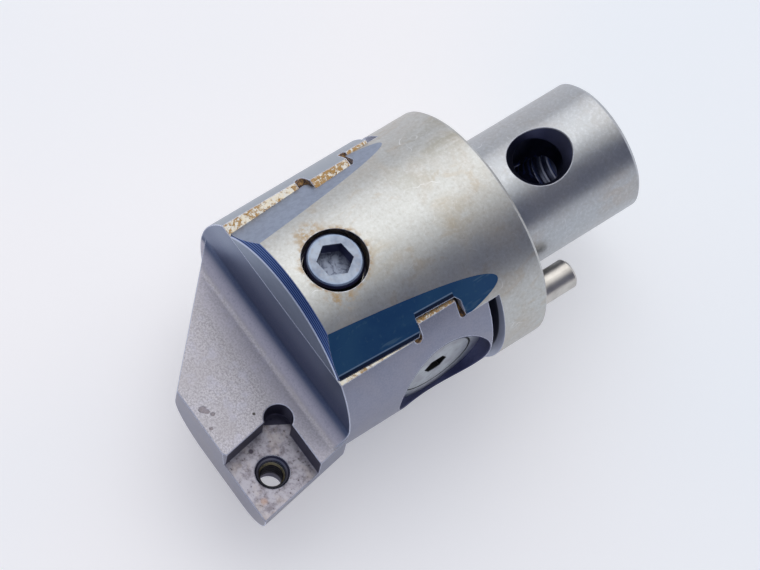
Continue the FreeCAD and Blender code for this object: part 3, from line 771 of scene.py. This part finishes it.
def dial_material():
    """Dial head and its ring: matt mottled grey, painted shade in the gap, faint ticks, painted
    shade in the hexagon hole.
    """
    n = Surface("dial_steel")
    from_dial = n.from_axis(DIAL_CENTRE, "X")
    grain = n.noise(1100.0, 4.0, 0.65)
    color = n.mix(n.ramp(n.noise(380.0, 3.0, 0.6), 0.36, 0.66), *DIAL_FACE)
    color = n.over(color, n.ramp(grain, 0.54, 0.70), DIAL_SPECKS, 0.5)
    gap = n.between_mm(from_dial, 5.00, 5.30, 0.04)
    fading = n.ramp(n.z, 1.5 * MM, 4.2 * MM, 1.0, 0.1)
    broken = n.times(n.ramp(n.noise(260.0, 2.0), 0.30, 0.45), fading)
    # painted shade in the gap between the dial and its ring, strongest low down
    color = n.mix(n.times(gap, n.add(0.10, n.times(broken, 0.90))), color, DIAL_GAP_SHADE)
    angle = n.math("ARCTAN2", n.z, n.less(n.y, DIAL_CENTRE[1] * MM))
    ticks = n.both(
        n.ramp(n.math("COSINE", n.times(angle, 20.0)), 0.985, 0.995),
        n.between_mm(from_dial, 4.1, 4.9, 0.06),
        n.rise(n.x, DIAL_FACE_X - 0.1, DIAL_FACE_X - 0.05))
    color = n.over(color, ticks, DIAL_TICKS, 0.35)
    sunk = n.rise(n.x, DIAL_FACE_X - 0.05, DIAL_FACE_X - 0.15)
    # painted shade in the hexagon hole
    color = n.over(color, n.times(n.rise(from_dial, 1.8, 1.72), sunk), DIAL_HOLE_SHADE, 0.92)
    edge, rounded = n.painted_edge_lines(0.10)
    # painted highlight along the edges, not in the gap
    color = n.over(color, n.times(edge, n.rest(gap)), DIAL_EDGE_HIGHLIGHT, 0.35)
    return n.finish(color, n.add(0.38, n.times(grain, 0.16)), grain, 0.3, 0.04, rounded)


def thread_material():
    """Insert screw's thread: straw-coloured crest at the mouth, painted shade deeper down."""
    n = Surface("thread_steel")
    grain = n.noise(2600.0, 3.0, 0.6)
    straw = n.mix(n.ramp(grain, 0.4, 0.6), *STRAW)
    # painted shade deeper in the bore
    color = n.mix(n.rise(n.z, -5.55, -5.15), THREAD_SHADE, straw)
    return n.finish(color, n.add(0.30, n.times(grain, 0.14)), grain, 0.2, 0.02)


def rubber_material():
    n = Material("seal_rubber")
    grain = n.noise(2500.0, 3.0, 0.6)
    rough = n.add(0.5, n.times(grain, 0.2))
    return n.finish(n.mix(grain, *RUBBER), rough, grain, 0.3, 0.03, metallic=0.0)


def add_piece(name, mesh, material):
    mesh.materials.clear()
    mesh.materials.append(material)
    piece = bpy.data.objects.new(name, mesh)
    bpy.context.scene.collection.objects.link(piece)
    return piece


def ridge(name, start, axis, sizes, material):
    """Helical thread crest that stands in from the wall of a bore."""
    radius, height, pitch, length = mm(sizes)
    start = Vector(mm(start))
    turns = int(length / pitch)
    axis = Vector(axis)
    side = Vector((1, 0, 0)) if abs(axis.x) < 0.5 else Vector((0, 1, 0))
    other = axis.cross(side)
    work = bmesh.new()
    rows = []
    for step in range(turns * RIDGE_STEPS + 1):
        turned = step / RIDGE_STEPS
        angle = 2 * math.pi * turned
        out = side * math.cos(angle) + other * math.sin(angle)
        along = pitch * (turned + 0.5)
        crest = radius - height * min(1.0, turned * 2, (turns - turned) * 2)
        profile = ((radius, -0.42), (crest, -0.07), (crest, 0.07), (radius, 0.42))
        rows.append([
            work.verts.new(start + out * r + axis * (along + share * pitch))
            for r, share in profile])
    for row, after in zip(rows, rows[1:]):
        for one in range(3):
            work.faces.new((row[one], row[one + 1], after[one + 1], after[one]))
    bmesh.ops.recalc_face_normals(work, faces=work.faces)
    mesh = bpy.data.meshes.new(name)
    work.to_mesh(mesh)
    work.free()
    mesh.shade_smooth()
    return add_piece(name, mesh, material)


def turned_copy(name, node, centre, degrees, material):
    """A copy of the node's mesh, shown turned about Z; the CAD node stays for collision."""
    piece = add_piece(name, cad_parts[node].data.copy(), material)
    centre = Vector(mm(centre))
    turn = Matrix.Rotation(math.radians(degrees), 4, "Z")
    piece.matrix_world = Matrix.Translation(centre) @ turn @ Matrix.Translation(-centre)
    return piece


make_camera()
make_world()
make_lamp()
make_floor()

ground_steel = body_material()
slide_steel = slide_material()
clamp_steel = clamp_material()
dial_steel = dial_material()
plug_steel = plain_metal("plug_steel", (0.40, 0.41, 0.44), 0.32)
hardened_steel = plain_metal("hardened_steel", (0.60, 0.57, 0.53), 0.25)
spring_steel = plain_metal("spring_steel", (0.36, 0.35, 0.34), 0.30)
bush_bronze = plain_metal("bush_bronze", (0.62, 0.43, 0.20), 0.30, BRONZE_EDGE_HIGHLIGHT)
bore_steel = plain_metal("bore_steel", (0.30, 0.32, 0.40), 0.34)

for material, nodes in (
        (ground_steel, ("body",)),
        (slide_steel, ("slide",)),
        (clamp_steel, ("clamp_screw",)),
        (dial_steel, ("adjusting_screw", "vernier_ring")),
        (hardened_steel, ("drive_pin", "clamp_washer", "thrust_washer", "spring_washer")),
        (plug_steel, ("lock_nut", "end_plug", "nut_screw")),
        (bush_bronze, ("dial_bush", "end_bush", "travel_nut")),
        (spring_steel, ("spring_1", "spring_2", "spring_3", "spring_4")),
        (rubber_material(), ("seal_ring",))):
    for node in nodes:
        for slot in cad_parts[node].material_slots:
            slot.material = material

# the photograph shows the clamp screw's hexagon turned from where the CAD has it
clamp_shown = turned_copy(
    "clamp_screw_shown", "clamp_screw", CLAMP_CENTRE, CLAMP_TURN, clamp_steel)
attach(clamp_shown, "clamp_unit")
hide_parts("clamp_screw")

insert_thread = ridge("insert_thread", *INSERT_THREAD, INSERT_THREAD_SIZES, thread_material())
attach(insert_thread, "slide_unit")

draw_thread = ridge("draw_thread", *DRAW_THREAD, DRAW_THREAD_SIZES, bore_steel)
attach(draw_thread, "head_body")

bpy.context.scene.view_settings.view_transform = "Standard"
